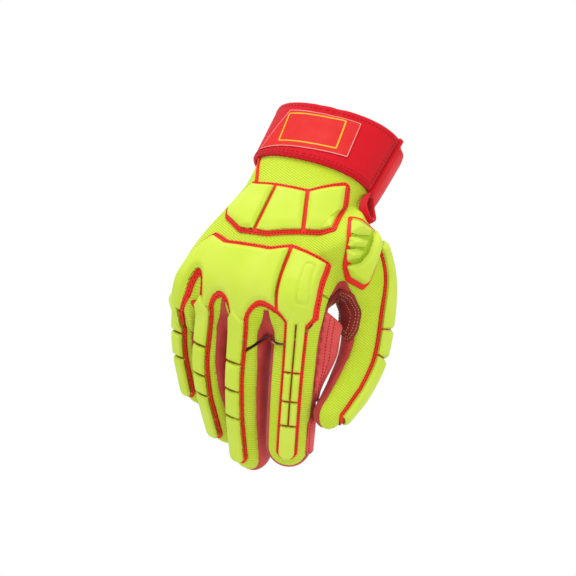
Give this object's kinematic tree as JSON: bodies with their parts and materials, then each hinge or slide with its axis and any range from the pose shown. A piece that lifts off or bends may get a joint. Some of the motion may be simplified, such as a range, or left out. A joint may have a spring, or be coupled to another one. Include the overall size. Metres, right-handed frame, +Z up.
{
  "type": "impact glove",
  "caption": "Right-hand high-visibility work glove with a leather palm, moulded impact guards over the hand, knuckles, fingers and thumb, and a strapped cuff, shown worn.",
  "frame": {"origin": "centre of the wrist opening, where the forearm leaves the cuff", "axes": "+Z up the forearm, -Y out of the back of the hand, +X towards the thumb side"},
  "size_m": [0.1365, 0.1225, 0.2086],
  "materials": {
    "knit": "ribbed high-visibility knit",
    "leather": "matt grain",
    "moulded": "matt moulded rubber",
    "trim": "matt moulded rubber",
    "strap": "woven face over foam",
    "tab": "smooth moulded rubber",
    "label": "thin moulded patch"
  },
  "bodies": {
    "root": {"back_panel": "knit", "palm_panel": "leather", "pinky_back_panel": "knit", "pinky_palm_panel": "leather", "ring_back_panel": "knit", "ring_palm_panel": "leather", "middle_back_panel": "knit", "middle_palm_panel": "leather", "index_back_panel": "knit", "index_palm_panel": "leather", "thumb_back_panel": "knit", "thumb_palm_panel": "leather", "metacarpal_base": "trim", "metacarpal_plate_ulnar": "moulded", "metacarpal_plate_middle": "moulded", "metacarpal_plate_radial": "moulded", "knuckle_base": "trim", "knuckle_plate_main": "moulded", "knuckle_plate_index": "moulded", "pinky_strip_base": "trim", "pinky_strip_1": "moulded", "pinky_strip_2": "moulded", "pinky_strip_3": "moulded", "ring_strip_base": "trim", "ring_strip_1": "moulded", "ring_strip_2": "moulded", "ring_strip_3": "moulded", "ring_strip_4": "moulded", "middle_strip_base": "trim", "middle_strip_1": "moulded", "middle_strip_2": "moulded", "middle_strip_3": "moulded", "middle_strip_4": "moulded", "index_strip_base": "trim", "index_strip_1_ulnar": "moulded", "index_strip_1_radial": "moulded", "index_strip_2_ulnar": "moulded", "index_strip_2_radial": "moulded", "index_strip_3_ulnar": "moulded", "index_strip_3_radial": "moulded", "index_strip_4": "moulded", "thumb_strip_base": "trim", "thumb_strip_1": "moulded", "thumb_strip_2": "moulded", "thumb_strip_3": "moulded", "thumb_guard_base": "trim", "thumb_guard_corner": "moulded", "thumb_guard_rib_1": "moulded", "thumb_guard_rib_2": "moulded", "thumb_guard_rib_3": "moulded", "index_side_patch_upper": "leather", "index_side_patch_lower": "leather", "thumb_crotch_patch": "leather", "cuff_band": "strap", "cuff_strap": "strap", "strap_end_binding": "strap", "wrist_patch": "label", "closure_tab": "tab", "pull_loop": "strap", "side_binding": "trim"}
  },
  "joints": []
}
